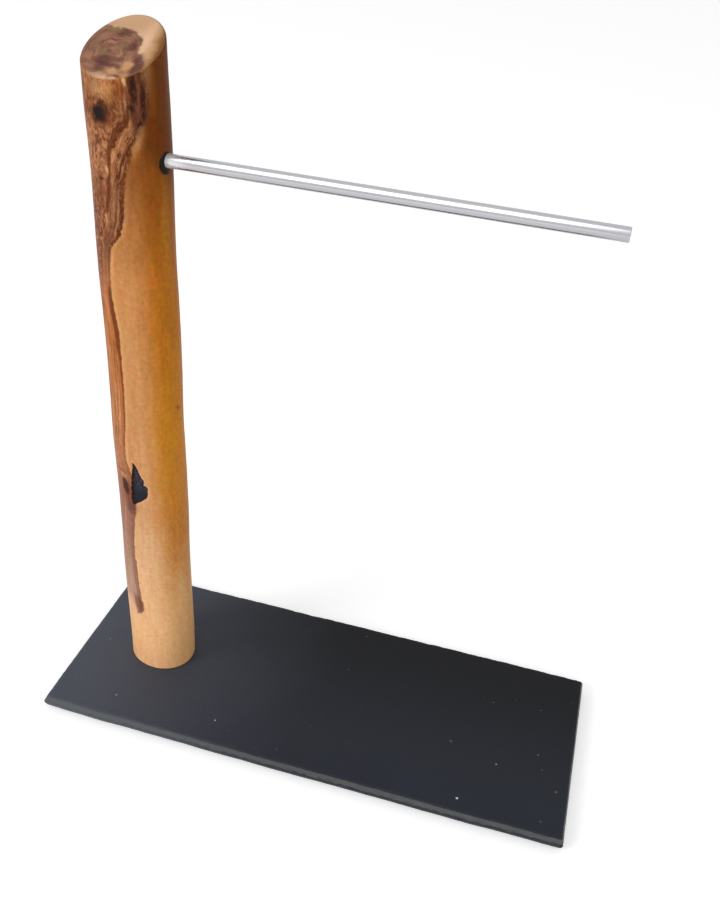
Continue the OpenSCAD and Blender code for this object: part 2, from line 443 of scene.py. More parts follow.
class RodSettings(bpy.types.PropertyGroup):
    """Sizes and colour of the metal rod."""

    diameter: distance(6.0, "Diameter", "Diameter of the rod")
    reach: distance(203.7, "Reach", "Length from the post's axis to the free end")
    grip: distance(7.0, "Grip", "Length beyond the post's axis")
    height: distance(283.7, "Height", "Height of the rod above the slate")
    forward: distance(2.0, "Forward", "How far the rod stands before the post's axis")
    turn: degrees(0.8, "Turn", "Turn of the rod towards the front")
    metal: tint(186, 186, 190, "Metal", "Colour of the satin metal")


class ScrewSettings(bpy.types.PropertyGroup):
    """Sizes and colour of the two screws under the post."""

    length: distance(25.0, "Length", "Length of a screw")
    diameter: distance(4.0, "Diameter", "Diameter over the thread")
    head: distance(8.0, "Head", "Diameter of the countersunk head")
    spacing: distance(16.0, "Spacing", "Distance between the screws")
    sunk: distance(0.4, "Sunk", "Depth of the heads below the slate's underside")
    pitch: distance(1.8, "Pitch", "Distance between the threads")
    steel: tint(176, 176, 180, "Steel", "Colour of the zinc plated steel")


class PadSettings(bpy.types.PropertyGroup):
    """Sizes and colour of the pads under the slate."""

    diameter: distance(14.0, "Diameter", "Diameter of a pad")
    thickness: distance(2.0, "Thickness", "Thickness of a pad")
    inset: distance(14.0, "Inset", "Distance of a pad's middle from the slate's edges")
    edge: distance(0.5, "Edge", "Radius of the rounded lower edge")
    rubber: tint(43, 43, 45, "Rubber", "Colour of the pads")


class StageSettings(bpy.types.PropertyGroup):
    """The camera, the lamps and the floor."""

    lens: FloatProperty(name="Lens", description="Focal length of the camera", default=38.988,
                        unit="CAMERA")
    sky: FloatProperty(name="Sky", description="Strength of the even light from all round", default=0.56)
    key: watts(34.0, "Key lamp", "Power of the large lamp at the left")
    fill: watts(13.0, "Fill lamp", "Power of the low lamp in front")
    shine: watts(25.0, "Shine lamp", "Power of the lamp that only gloss shows")
    floor: tint(247, 247, 248, "Floor", "Colour of the floor")


class PostPlaces:
    """Where things are on the post, in any tree: x, y, z in millimetres about its axis, and s,
    the distance round it from the middle of the side that is seen."""

    knot, knot_half = (-7.7, 302.9), (3.1, 2.8)
    worn_forward, worn_down = 1.3, 0.6
    bark_low, bark_high = 113.4, 138.6
    bark_left = [(113.4, -6.6), (115.0, -7.3), (118.5, -7.2), (124.0, -6.9), (131.0, -6.0), (138.4, -5.0)]
    bark_right = [(113.4, -4.8), (115.4, -2.2), (117.4, 0.3), (119.4, 2.0), (122.6, 2.5), (125.7, 2.2),
                  (126.5, 0.9), (128.6, 0.7), (132.0, -1.0), (136.0, -2.4), (138.4, -4.2)]

    def __init__(self, graph, position):
        g = self.graph = graph
        self.position = position
        self.x, self.y, self.z = g.parts(position)
        c, s = math.cos(SEEN_TURN), math.sin(SEEN_TURN)
        self.s = g.math("ARCTAN2", self.y * c - self.x * s, self.x * c + self.y * s) * MEAN_RADIUS

    def off_knot(self):
        """Distance from the round knot's middle, in radii of the knot."""
        across = (self.s - self.knot[0]) / self.knot_half[0]
        return self.graph.hypot(across, (self.z - self.knot[1]) / self.knot_half[1])

    def inside_bark(self):
        """Distance in millimetres inwards from the ragged outline of the bark pocket."""
        g = self.graph
        ragged = g.waver(self.position, 0.55, 3.0) * 2.2
        z = self.z + ragged
        s = self.s + ragged * 0.7
        sides = g.math("MINIMUM", s - g.curve(z, self.bark_left), g.curve(z, self.bark_right) - s)
        return g.math("MINIMUM", sides, g.math("MINIMUM", z - self.bark_low, self.bark_high - z))


class BuildPost(bpy.types.Operator):
    """Build the olive wood post, with its slanted cut, knots and rod hole"""

    bl_idname = "hanger.post"
    bl_label = "Olive wood post"

    around = 168
    rows = {"foot": 6, "edge": 4, "side": 400, "rim": 7, "cut": 26}
    widest_turn, lobe_turn = math.radians(-25), math.radians(-30)
    swell_length, swell_twist = 150.0, 1.5 * TAU
    bore_rows = [3, 8, 10, 3]
    bore_play, bore_run, mouth_run, flare = 0.05, 18.5, 7.5, 0.5
    pilot_radius, pilot_length, pilot_top = 2.05, 40.0, 19.0

    def execute(self, context):
        sizes, rod = context.scene.hanger_post, context.scene.hanger_rod
        form = Form(
            "olive_post", **drawn(sizes, "height", "cut_edge", "foot_edge", "swell", "mouth"),
            foot_radius=sizes.foot_diameter / 2 / MM, top_radius=sizes.top_diameter / 2 / MM,
            cut_tilt=sizes.cut_tilt, cut_turn=sizes.cut_turn, oval=sizes.oval, lobe=sizes.lobe,
            rod_radius=rod.diameter / 2 / MM, rod_height=rod.height / MM, rod_forward=rod.forward / MM,
            rod_grip=rod.grip / MM, rod_turn=-rod.turn)
        aside = context.scene.hanger_screws.spacing / 2 / MM
        post = form.cut(self.branch(form), self.rod_hole(form), self.pilot_hole(form, -aside),
                        self.pilot_hole(form, aside))
        wood = OliveWood(context.scene.hanger_wood, sizes, rod)
        settle(form.grow(post, wood, POST_FOOT, sharp=50), "olive_wood", "post")
        return {"FINISHED"}

    def radius(self, form, turn, share):
        """Radius of the branch at a turn round its axis and a share of its height."""
        oval = form.oval * form.cos(2.0 * (turn - self.widest_turn))
        lobe = form.lobe * form.cos(3.0 * (turn - self.lobe_turn))
        mean = form.foot_radius + (form.top_radius - form.foot_radius) * share
        wave = turn + share * (form.height / self.swell_length * TAU + self.swell_twist)
        return mean * (1.0 + oval + lobe) + form.swell * form.sin(wave)

    def branch(self, form):
        """The closed branch, from the middle of its foot up its side to the middle of the cut."""
        rows = list(self.rows.values())
        sheet, along, round_share = form.sheet(sum(rows), self.around)
        foot, edge, side, rim, cut = form.stages(along, rows)
        turn = round_share * -TAU
        slope = form.math("TANGENT", form.cut_tilt) * form.cos(turn - form.cut_turn)
        top = self.radius(form, turn, 1.0)
        steep = form.math("SQRT", 1.0 + slope * slope)
        rim_height = form.height + slope * (top - form.cut_edge) - form.cut_edge * steep
        edge_turn = edge * (math.pi / 2)
        bottom = self.radius(form, turn, 0.0)
        lean = rim * (math.pi / 2 + form.math("ARCTANGENT", slope))
        on_side = self.radius(form, turn, side) - form.foot_edge * (1.0 - form.sin(edge_turn))
        radius = on_side - (1.0 - foot) * (bottom - form.foot_edge)
        radius = radius - form.cut_edge * (1.0 - form.cos(lean))
        radius = radius * (1.0 - cut)
        height = form.foot_edge * (1.0 - form.cos(edge_turn))
        height = height + (rim_height - form.foot_edge) * side + form.cut_edge * form.sin(lean)
        height = height + cut * (form.height - height)
        round_off = form.rise(side, 0.0, 0.01) * (1.0 - form.rise(rim, 0.2, 1.0))
        smooth = form.vector(radius * form.cos(turn), radius * form.sin(turn), height)
        uneven = self.uneven(form, PostPlaces(form, smooth))
        hollowed = radius + uneven * round_off
        placed = form.vector(hollowed * form.cos(turn), hollowed * form.sin(turn), height)
        return form.closed(form.place(sheet, placed))

    def uneven(self, form, places):
        """How far the sanded side stands out from the plain branch: hand sanding, knot, pocket."""
        stretched = form.vector_math("MULTIPLY", places.position, (1.0, 1.0, 0.35))
        sanding = form.waver(stretched, 0.11, 3.0) * 0.5
        off = places.off_knot()
        knot = form.rise(off, 1.15, 0.35) * -0.8 + form.rise(off, 2.2, 1.2) * 0.12
        inside = places.inside_bark()
        floor = form.waver(places.position, 0.9, 3.0) - 1.5
        lip = form.rise(inside, -1.6, 0.0) * (1.0 - form.rise(inside, 0.0, 0.5)) * 0.1
        return sanding + knot + form.rise(inside, 0.0, 1.1) * floor + lip

    def rod_hole(self, form):
        """The bore that grips the rod and the worn mouth round it, along +X from the axis."""
        sheet, along, round_share = form.sheet(sum(self.bore_rows), 72)
        inner, bore, mouth, outer = form.stages(along, self.bore_rows)
        worn = form.rise(mouth, 0.0, 0.35)
        flare = form.rise(mouth, 0.45, 1.0)
        radius = (form.rod_radius + self.bore_play) * inner + form.mouth * worn + self.flare * flare * flare
        radius = radius * (1.0 - outer)
        reach = self.bore_run * bore + self.mouth_run * mouth - form.rod_grip
        turn = round_share * TAU
        local = form.vector(reach, radius * form.cos(turn) - PostPlaces.worn_forward * worn,
                            radius * form.sin(turn) - PostPlaces.worn_down * worn)
        tube = form.closed(form.place(sheet, local), 0.001)
        return form.moved(tube, Translation=form.vector(0.0, -form.rod_forward, form.rod_height),
                          Rotation=form.vector(0.0, 0.0, form.rod_turn))

    def pilot_hole(self, form, x):
        peg = form.node("GeometryNodeMeshCylinder", None, {
            "Vertices": 40, "Radius": self.pilot_radius, "Depth": self.pilot_length})
        return form.moved(peg, Translation=(x, 0.0, self.pilot_top - self.pilot_length / 2))


class OliveWood(Material):
    """Sanded and oiled olive wood: honey sapwood, busy heartwood, knots and the slanted cut."""

    # Screen colours by height above the slate; table_top is the height at a table's far end.
    table_top = 330.0
    sap_left = [(18, (246, 190, 138)), (75, (222, 174, 130)), (125, (203, 147, 99)), (232, (195, 134, 81)),
                (254, (176, 116, 66)), (274, (153, 96, 50)), (290, (144, 87, 46)), (303, (116, 68, 36))]
    # sap_right, the golden right side, is partly the wood's own colour and partly a painted warm
    # reflection.
    sap_right = [(45, (232, 178, 122)), (92, (204, 131, 60)), (150, (206, 134, 38)), (200, (190, 120, 34)),
                 (238, (180, 108, 32)), (266, (150, 84, 23)), (300, (110, 60, 16))]
    heart_base = [(40, (190, 148, 126)), (66, (178, 137, 116)), (96, (158, 113, 91)), (115, (150, 102, 82)),
                  (135, (170, 112, 78)), (160, (174, 112, 66)), (204, (176, 106, 54)),
                  (222, (176, 110, 66)), (242, (120, 72, 50)), (258, (124, 74, 48)),
                  (270, (126, 76, 48)), (290, (152, 97, 60)), (303, (124, 76, 46)), (315, (150, 98, 62))]
    heart_dark = [(90, (126, 82, 64)), (150, (134, 70, 34)), (215, (112, 54, 16)), (250, (88, 42, 20))]
    heart_light = [(90, (194, 150, 124)), (150, (210, 148, 104)), (215, (216, 142, 88)),
                   (250, (200, 138, 94))]
    # The right edge of the heartwood and the dark valley in it, as (height, s) points.
    edge = [(36.0, -14.0), (38.0, -10.0), (40.0, -6.2), (44.0, -4.8), (52.0, -6.0), (60.0, -6.8),
            (72.0, -7.4), (82.0, -8.2), (100.0, -6.8), (112.0, -5.4), (130.0, -6.4), (142.0, -8.8),
            (160.0, -7.4), (190.0, -6.6), (205.0, -6.5), (216.0, -7.8), (230.0, -9.0), (242.0, -8.2),
            (249.0, -6.2), (254.0, -2.4), (262.0, -0.5), (272.0, 0.2), (282.0, 1.8), (291.0, 5.1),
            (297.0, 8.2), (302.0, 11.4), (312.0, 12.0), (324.0, 11.0)]
    valley = [(262.0, -8.4), (270.0, -6.6), (279.0, -5.3), (290.0, -3.6), (297.0, -0.4), (303.0, 5.0)]
    # By height: how busy the figure is, and the breadth and strength of the dark line at its edge.
    busy = [(40.0, 0.25), (120.0, 0.35), (150.0, 0.75), (218.0, 0.8), (230.0, 0.3), (246.0, 0.35),
            (254.0, 1.0), (330.0, 1.0)]
    line_reach = [(40.0, 2.6), (112.0, 2.0), (150.0, 0.7), (192.0, 0.9), (205.0, 2.4), (226.0, 1.9),
                  (236.0, 0.5), (248.0, 0.7), (260.0, 1.5), (300.0, 1.0)]
    line_depth = [(40.0, 0.6), (112.0, 0.6), (135.0, 0.4), (150.0, 0.6), (205.0, 0.95), (226.0, 0.9),
                  (234.0, 0.1), (248.0, 0.3), (258.0, 0.95), (286.0, 0.9), (324.0, 0.95)]
    # Paint, middle as (s, height), half size, softness, strength and lean of each mark.
    marks = [
        ("cocoa", (-11.0, 271.0), (4.6, 8.0), 0.7, 0.5, 0.0),
        ("maroon", (-9.5, 276.6), (1.6, 0.8), 0.6, 0.8, 0.0),
        ("tan", (-6.0, 281.0), (0.7, 1.8), 0.6, 0.8, 0.0),
        ("tan", (-3.6, 269.0), (1.4, 7.0), 0.8, 0.25, 0.15),
        ("russet", (2.2, 313.0), (2.4, 4.0), 0.6, 0.7, 0.0),
        ("tan", (-8.0, 312.5), (6.5, 2.8), 0.6, 0.35, 0.0),
        ("russet", (-13.5, 311.0), (2.2, 5.0), 0.7, 0.35, 0.0),
        ("ochre", (-2.0, 311.8), (2.0, 4.0), 0.9, 0.4, 0.1),
        ("cocoa", (1.2, 305.0), (3.6, 7.5), 0.6, 0.45, 0.1),
        ("walnut", (8.8, 309.5), (3.5, 13.5), 0.3, 0.9, 0.0),
        ("maroon", (7.3, 314.5), (1.5, 6.5), 0.5, 0.9, -0.1),
        ("maroon", (11.0, 309.0), (1.0, 7.5), 0.6, 0.9, 0.05),
        ("maroon", (9.2, 299.4), (1.5, 2.2), 0.5, 0.85, 0.0),
        ("cocoa", (4.5, 302.6), (1.2, 2.0), 0.5, 0.8, 0.0),
        ("tan", (4.3, 316.2), (0.8, 1.6), 0.5, 0.9, 0.0),
        ("tan", (13.3, 321.0), (1.5, 8.0), 0.9, 0.24, 0.0),
        ("tan", (4.2, 308.0), (0.5, 4.0), 0.7, 0.25, 0.0),
        ("maroon", (6.3, 306.2), (1.2, 1.5), 0.6, 0.9, 0.0),
        ("ochre", (8.0, 291.0), (1.8, 6.5), 0.8, 0.35, 0.35),
        ("tan", (8.2, 293.0), (1.2, 4.5), 0.8, 0.4, 0.35),
        ("russet", (20.4, 167.0), (1.8, 1.0), 0.6, 0.6, -0.8),
        ("ochre", (15.0, 143.0), (2.6, 5.0), 0.9, 0.25, -0.3),
        ("cocoa", (-9.4, 119.0), (3.6, 8.0), 0.7, 0.6, 0.0),
        ("maroon", (-10.8, 122.6), (2.4, 4.4), 0.4, 0.9, -0.2),
        ("rose", (-12.0, 131.5), (5.0, 1.0), 0.7, 0.6, 1.2),
        ("tan", (-13.0, 128.6), (4.0, 0.8), 0.7, 0.3, 1.2),
        ("cut_dark", (-7.4, 110.8), (3.2, 3.8), 0.7, 0.75, 0.1),
        ("pink", (-14.5, 42.0), (3.2, 7.0), 0.7, 0.35, 0.0),
        ("cocoa", (-8.2, 45.8), (3.1, 5.6), 0.5, 0.65, -0.15),
    ]
    # The cut's pith as (p, q), and the radius of its heartwood by the angle round the pith.
    pith = (-2.0, -4.0)
    swirl = [(-180.0, 17.0), (-160.0, 17.0), (-137.0, 16.0), (-120.0, 15.0), (-100.0, 13.2), (-82.0, 13.6),
             (-64.0, 15.5), (-44.0, 18.0), (-32.0, 18.5), (-15.0, 16.6), (0.0, 12.6), (20.0, 10.6),
             (47.0, 11.6), (85.0, 11.8), (110.0, 12.4), (124.0, 14.5), (150.0, 18.0), (180.0, 17.0)]
    # Paint, middle as (p, q), half size and strength of each blot on the cut.
    blots = [
        ("cut_heart", (-6.0, -17.4), (8.0, 3.0), 0.6),
        ("cut_dark", (-3.6, 6.4), (4.6, 1.6), 0.8), ("cut_dark", (4.8, 3.2), (1.6, 2.2), 0.5),
        ("cut_dark", (4.6, -0.6), (2.0, 2.2), 0.85), ("cut_dark", (-4.0, -10.0), (4.2, 2.6), 0.9),
        ("cut_dark", (1.0, -11.5), (4.0, 1.4), 0.5), ("cut_dark", (-3.8, -14.2), (3.0, 1.6), 0.6),
        ("cut_dark", (11.2, -6.4), (1.6, 3.4), 0.6), ("cut_dark", (13.6, -11.0), (2.0, 4.6), 0.85),
        ("cut_light", (-2.2, -2.6), (2.6, 1.7), 0.6), ("cut_light", (-10.6, 2.4), (2.4, 2.0), 0.6),
        ("cut_light", (6.2, -5.0), (1.4, 2.6), 0.5), ("cut_light", (-8.6, -14.0), (3.4, 1.2), 0.7),
        ("cut_light", (-12.6, -9.0), (2.4, 2.0), 0.4), ("cut_olive", (-6.4, -6.0), (2.4, 1.8), 0.7),
        ("cut_olive", (0.6, -0.9), (1.6, 1.2), 0.7), ("cut_olive", (-13.6, -2.0), (1.8, 3.6), 0.6),
        ("cut_olive", (-9.0, 6.4), (3.6, 1.6), 0.6), ("tan", (8.4, -10.8), (2.2, 2.4), 0.8),
        # The cut_orange blot at (0.6, -17.8) paints a highlight along the cut's lower rim.
        ("tan", (4.4, -14.8), (3.2, 1.6), 0.8), ("cut_orange", (0.6, -17.8), (4.6, 1.5), 0.5),
        ("tan", (9.4, -14.6), (1.6, 1.6), 0.5), ("cut_dark", (7.2, -16.6), (1.6, 0.8), 0.5),
    ]

    def __init__(self, paints, sizes, rod):
        super().__init__("olive wood", Specular_IOR_Level=0.05)
        self.paints, self.sizes, self.rod = paints, sizes, rod
        self.at = PostPlaces(self, self.position(POST_FOOT))
        self.plain = self.at.position
        self.small = self.waver(self.plain, 0.5, 3.0)
        self.patch = self.waver(self.stretched(0.13, 0.04), 1.0, 3.0)
        self.fine = self.noise(self.stretched(2.2, 0.07), 1.0, detail=3.0, roughness=0.65)
        self.s = self.at.s + self.small * 1.3
        self.z = self.at.z + self.waver(self.plain, 0.31) * 5.0
        colour = self.add_heartwood(self.sapwood())
        colour = self.add_fibres(self.add_marks(colour))
        colour = self.mix(self.on_cut(), colour, self.cut_face())
        self.drive(Base_Color=self.add_hollows(colour), Roughness=0.46 + self.small * 0.1)
        self.relief(self.fine, 0.03)

    def stretched(self, across, along):
        """The place on the post with the grain's long and short scales."""
        return self.vector_math("MULTIPLY", self.plain, (across, across, along))

    def by_height(self, height, stops):
        """A colour that changes with the height, through (millimetres, screen colour) stops."""
        placed = [(z / self.table_top, paint(*colour)) for z, colour in stops]
        return self.node("ShaderNodeValToRGB", {"stops": placed}, {"Fac": height / self.table_top}, "Color")

    def cover(self, colour, name, amount):
        """Lays one of the named paints over a colour."""
        return self.mix(amount, colour, getattr(self.paints, name))

    def oval(self, across, up, soft):
        """1 inside a unit circle of the two measures, fading out over its border."""
        return self.rise(self.hypot(across, up), 1 + soft, 1 - soft)

    def spot(self, middle, half, soft, lean=0.0):
        """1 on an oval patch of the side, given by its middle and half size as (s, height)."""
        up = self.z - middle[1]
        return self.oval((self.s - middle[0] - up * lean) / half[0], up / half[1], soft)

    def band(self, points, half, soft):
        """1 along a line of (height, s) points, fading out at both sides and both ends."""
        low, high = points[0][0], points[-1][0]
        ends = self.rise(self.z, low - 2.0, low + 2.0) * self.rise(self.z, high + 2.0, high - 2.0)
        return self.hill(self.s, self.curve(self.z, points), half, soft) * ends

    def sapwood(self):
        """Pale at the foot, brown towards the top, golden on the right and dark above the rod; the golden
        right side is partly the wood's own colour and partly a painted warm reflection.
        """
        height = self.at.z + self.patch * 26.0
        before_back = self.rise(self.at.s + self.patch * 12.0, 46.0, 24.0)
        # The golden right side: partly the wood's own colour and partly a painted warm reflection.
        right = self.rise(self.at.s + self.patch * 7.0, 0.0, 13.5) * before_back
        left = self.by_height(height, self.sap_left)
        colour = self.mix(right, left, self.by_height(height, self.sap_right))
        colour = self.cover(colour, "orange", self.spot((13.0, 212.0), (5.0, 42.0), 0.5) * 0.25)
        colour = self.cover(colour, "gold", self.spot((18.6, 250.0), (2.4, 24.0), 0.6) * 0.4)
        dark_top = self.rise(self.z + self.s * 1.2, 296.0, 311.0) * self.rise(self.s, 7.5, 10.5)
        colour = self.cover(colour, "umber", dark_top * before_back)
        colour = self.cover(colour, "russet", self.spot((14.0, 296.0), (2.4, 5.5), 0.9, -0.5) * 0.4)
        return self.cover(colour, "ochre", self.band([(303.0, 14.6), (322.0, 15.0)], 0.8, 2.0) * 0.12)

    def add_heartwood(self, colour):
        inwards = self.curve(self.z, self.edge) - self.flow()
        fresh = self.hill(inwards, -0.9, 0.3, 1.0) * self.rise(self.at.z, 290.0, 240.0)
        colour = self.cover(colour, "blush", fresh * 0.22)
        return self.mix(self.heart_extent(inwards), colour, self.heart_figure(inwards))

    def heart_extent(self, inwards):
        """1 on the heartwood: from its right edge round to the back, and down to its ragged foot."""
        far_edge = self.waver(self.stretched(0.06, 0.02), 1.0) * 16.0 - 30.0
        between = self.rise(inwards, -0.2, 0.3) * self.rise(self.at.s, far_edge - 2.0, far_edge + 1.0)
        foot = self.rise(self.z - self.s * 0.2, 36.5, 39.5)
        corner = self.math("MAXIMUM", self.rise(self.s, -10.8, -9.2), self.rise(self.z, 41.0, 52.0))
        return between * foot * corner

    def heart_figure(self, inwards):
        """The heartwood's colours: streaks, the dark line at its edge, curls and burls."""
        z = self.at.z
        busy = self.curve(z, self.busy)
        wander = self.waver(self.stretched(0.1, 0.04), 1.0, 1.0) * (1.0 + busy * 4.0)
        lines = self.vector((inwards + wander) * 0.56, z * 0.016, 4.0)
        blotch = self.waver(self.stretched(0.3, 0.12), 1.0, 3.0)
        streak = self.noise(lines, 1.0, detail=3.0, roughness=0.62) + blotch * busy * 0.35
        flank = self.rise(inwards, 8.0, 2.0) * self.rise(z, 252.0, 266.0)
        left = self.rise(self.at.s - self.curve(z, self.valley), 1.0, -1.0)
        reach = self.curve(z, self.line_reach)
        line = self.rise(inwards + blotch, reach + 0.9, reach) * self.curve(z, self.line_depth)
        second = self.hill(inwards, 3.4, 0.3, 0.6) * self.rise(z, 250.0, 262.0)
        curls = self.noise(self.stretched(0.9, 0.45), 1.0, detail=4.0, roughness=0.7, distortion=1.2)
        curly = self.rise(z, 250.0, 258.0) * (0.1 + left * 0.25)
        burls = self.noise(self.stretched(0.9, 0.55), 1.0, detail=1.0)
        burly = self.rise(z, 215.0, 235.0) * (0.35 + left * 0.65)
        burly = burly * (0.4 + self.rise(self.at.s, -24.0, -15.0) * 0.6)
        heart = self.by_height(z + self.patch * 20.0, self.heart_base)
        dark, light = self.by_height(z, self.heart_dark), self.by_height(z, self.heart_light)
        layers = [
            (flank * 0.45, light), (left * self.hill(z, 286.0, 7.0, 9.0) * 0.45, light),
            (self.rise(streak, 0.48, 0.38) * busy, dark),
            (self.rise(streak, 0.52, 0.66) * busy * 0.9, light),
            (left * self.hill(z, 282.0, 12.0, 9.0) * 0.45, self.paints.cinnamon),
            (line, dark), (second * 0.7, dark),
            (self.rise(curls, 0.5, 0.62) * curly, dark),
            (self.rise(curls, 0.48, 0.36) * curly * 1.4, light),
            (self.rise(burls, 0.53, 0.68) * burly * 0.5, dark),
            (self.rise(burls, 0.46, 0.32) * burly * 0.6, light),
        ]
        for amount, shade in layers:
            heart = self.mix(amount, heart, shade)
        return heart

    def flow(self):
        """The distance round the post, bent so that lines of it flow round the knots."""
        s = self.s
        for place, size, taper in ((self.at.knot, 5.0, 0.32), ((-9.8, 123.0), 3.0, 0.7)):
            across = s - place[0]
            up = (self.at.z - place[1]) * taper
            far = self.math("MAXIMUM", across * across + up * up, size * size)
            s = s - across * (size * size) / far
        return s

    def add_marks(self, colour):
        """The valley's dark line, the listed marks, flecks in the dark streak and the knot's halo."""
        colour = self.cover(colour, "cocoa", self.band(self.valley, 0.6, 0.9) * 0.9)
        for name, middle, half, soft, strength, lean in self.marks:
            colour = self.cover(colour, name, self.spot(middle, half, soft, lean) * strength)
        flecks = self.noise(self.stretched(0.9, 0.3), 1.0, detail=4.0, roughness=0.65, distortion=0.8)
        in_streak = self.rise(flecks, 0.52, 0.62) * self.spot((8.6, 308.0), (3.6, 13.0), 0.3)
        colour = self.cover(colour, "rose", in_streak * 0.55)
        light_line = self.band([(303.0, 9.0), (311.0, 9.4), (316.0, 9.6)], 0.25, 0.6)
        colour = self.cover(colour, "rose", light_line * 0.6)
        halo = self.at.off_knot() + self.waver(self.plain, 0.28, 3.0) * 2.6
        colour = self.cover(colour, "cocoa", self.rise(halo, 2.4, 1.6) * 0.5)
        return self.cover(colour, "maroon", self.rise(halo, 1.9, 1.2) * 0.7)

    def add_fibres(self, colour):
        """Fine fibres, mottling from rosy to yellow, short dark pores and raked lines near the foot."""
        soft = self.waver(self.stretched(0.45, 0.05), 1.0, 3.0)
        curl = self.waver(self.stretched(0.12, 0.7), 1.0)
        level = (self.fine - 0.5) * 0.12 + soft * 0.2 + curl * 0.05 + self.small * 0.3
        colour = self.shaded(colour, level)
        mottle = self.rise(self.noise(self.stretched(0.26, 0.13), 1.0, detail=4.0), 0.34, 0.66)
        cast = self.mix(mottle, (0.52, 0.488, 0.49), (0.485, 0.51, 0.48))
        colour = self.mix(1.0, colour, cast, "OVERLAY")
        pores = self.rise(self.noise(self.stretched(1.7, 0.22), 1.0), 0.68, 0.78)
        colour = self.cover(colour, "umber", pores * 0.3)
        raked = self.vector((self.at.s + self.at.z * 0.45) * 1.3, self.at.z * 0.06, 9.0)
        rays = self.rise(self.noise(raked, 1.0, detail=3.0), 0.54, 0.66)
        return self.cover(colour, "umber", rays * self.spot((16.0, 88.0), (9.0, 26.0), 0.6) * 0.22)

    def depth_below_cut(self):
        """Distance in millimetres from the cut's plane down into the post."""
        tilt, turn = self.sizes.cut_tilt, self.sizes.cut_turn
        normal = (-math.sin(tilt) * math.cos(turn), -math.sin(tilt) * math.sin(turn), math.cos(tilt))
        above = self.vector_math("SUBTRACT", self.plain, (0.0, 0.0, self.sizes.height / MM))
        return -self.vector_math("DOT_PRODUCT", above, normal, out="Value")

    def on_cut(self):
        return self.rise(self.depth_below_cut() + self.small * 0.6, 0.9, 0.2)

    def cut_face(self):
        """The slanted cut: p runs across it and q up its slope, in millimetres."""
        c, s = math.cos(self.sizes.cut_turn), math.sin(self.sizes.cut_turn)
        bend = self.noise(self.plain, 0.22, detail=4.0, roughness=0.6, out="Color")
        bend_p, bend_q, _ = self.parts(bend)
        p = self.at.x * s - self.at.y * c + (bend_p - 0.5) * 4.5
        q = (self.at.x * c + self.at.y * s) / math.cos(self.sizes.cut_tilt) + (bend_q - 0.5) * 4.5
        across, up = p - self.pith[0], q - self.pith[1]
        angle = self.math("ARCTAN2", up, across) * (180.0 / math.pi)
        share = self.hypot(across, up) / self.curve(angle, self.swirl)
        # The sap turns from cut_orange to cut_pale towards the right; the pale right side is partly the
        # wood's own colour and partly a painted sheen.
        sap = self.mix(self.rise(p - q * 0.4, -4.0, 8.0), self.paints.cut_orange, self.paints.cut_pale)
        out = p + q * 0.2
        # Painted shade: cut_edge and then umber darken the cut towards its right rim.
        sap = self.cover(sap, "cut_edge", self.rise(out, 9.0, 14.5) * 0.75)
        sap = self.cover(sap, "umber", self.rise(out, 13.0, 17.0) * 0.8)
        rings = self.noise(self.vector(share * 6.0, angle * 0.012, 0.0), 1.0, detail=3.0, roughness=0.55)
        rings = rings + self.waver(self.plain, 0.45, 3.0) * 0.3
        heart = self.mix(self.rise(rings, 0.26, 0.52), self.paints.cut_dark, self.paints.cut_heart)
        heart = self.cover(heart, "cut_light", self.rise(rings, 0.48, 0.68))
        colour = self.mix(self.rise(share, 1.08, 0.93), sap, heart)
        for name, middle, half, strength in self.blots:
            spot = self.oval((p - middle[0]) / half[0], (q - middle[1]) / half[1], 0.55)
            colour = self.cover(colour, name, spot * strength)
        colour = self.shaded(colour, self.waver(self.plain, 1.6, 3.0) * 0.16 + (rings - 0.5) * 0.1)
        # Painted shade: the rounded rim round the cut is darkened with cut_edge.
        return self.cover(colour, "cut_edge", self.rise(self.depth_below_cut(), 0.05, 0.6) * 0.55)

    def add_hollows(self, colour):
        """The knot's hole, the bark pocket and the mouth of the rod's hole; the knot and the mouth are
        darkened with a soot colour that is partly their own dark colour and partly painted shade in the
        hollows.
        """
        knot = self.rise(self.at.off_knot() + self.small * 0.6, 1.15, 0.8)
        # The knot's hole: its own dark wood, with painted shade in the hollow.
        colour = self.cover(colour, "soot_and_shade", knot)
        inside = self.at.inside_bark()
        rim = self.hill(inside, -0.6, 0.2, 0.4) * self.rise(self.s, -6.0, -3.0)
        colour = self.cover(colour, "blush", rim * 0.3)
        colour = self.cover(colour, "maroon", self.rise(inside, 0.0, 0.3))
        flakes = self.rise(self.noise(self.stretched(1.2, 0.4), 1.0, detail=3.0), 0.4, 0.6)
        dry = self.mix(flakes, self.paints.bark, self.paints.flake)
        dry = self.cover(dry, "bark_foot", self.rise(self.at.z, 127.0, 119.0))
        colour = self.mix(self.rise(inside, 0.4, 1.0), colour, dry)
        # The rod's mouth: stain and painted shade, darkened on the front side where the gap round the rod
        # lies in shade.
        aside = self.at.y + (self.rod.forward / MM + self.at.worn_forward)
        up = self.at.z - (self.rod.height / MM - self.at.worn_down)
        off = self.hypot(aside, up) + self.small * 0.8
        mouth_stain_and_shade = self.rise(off, 5.1, 4.4) * self.rise(self.at.x, 2.0, 6.0) * self.rise(self.at.y, -0.5, -3.0)
        return self.cover(colour, "soot_and_shade", mouth_stain_and_shade)


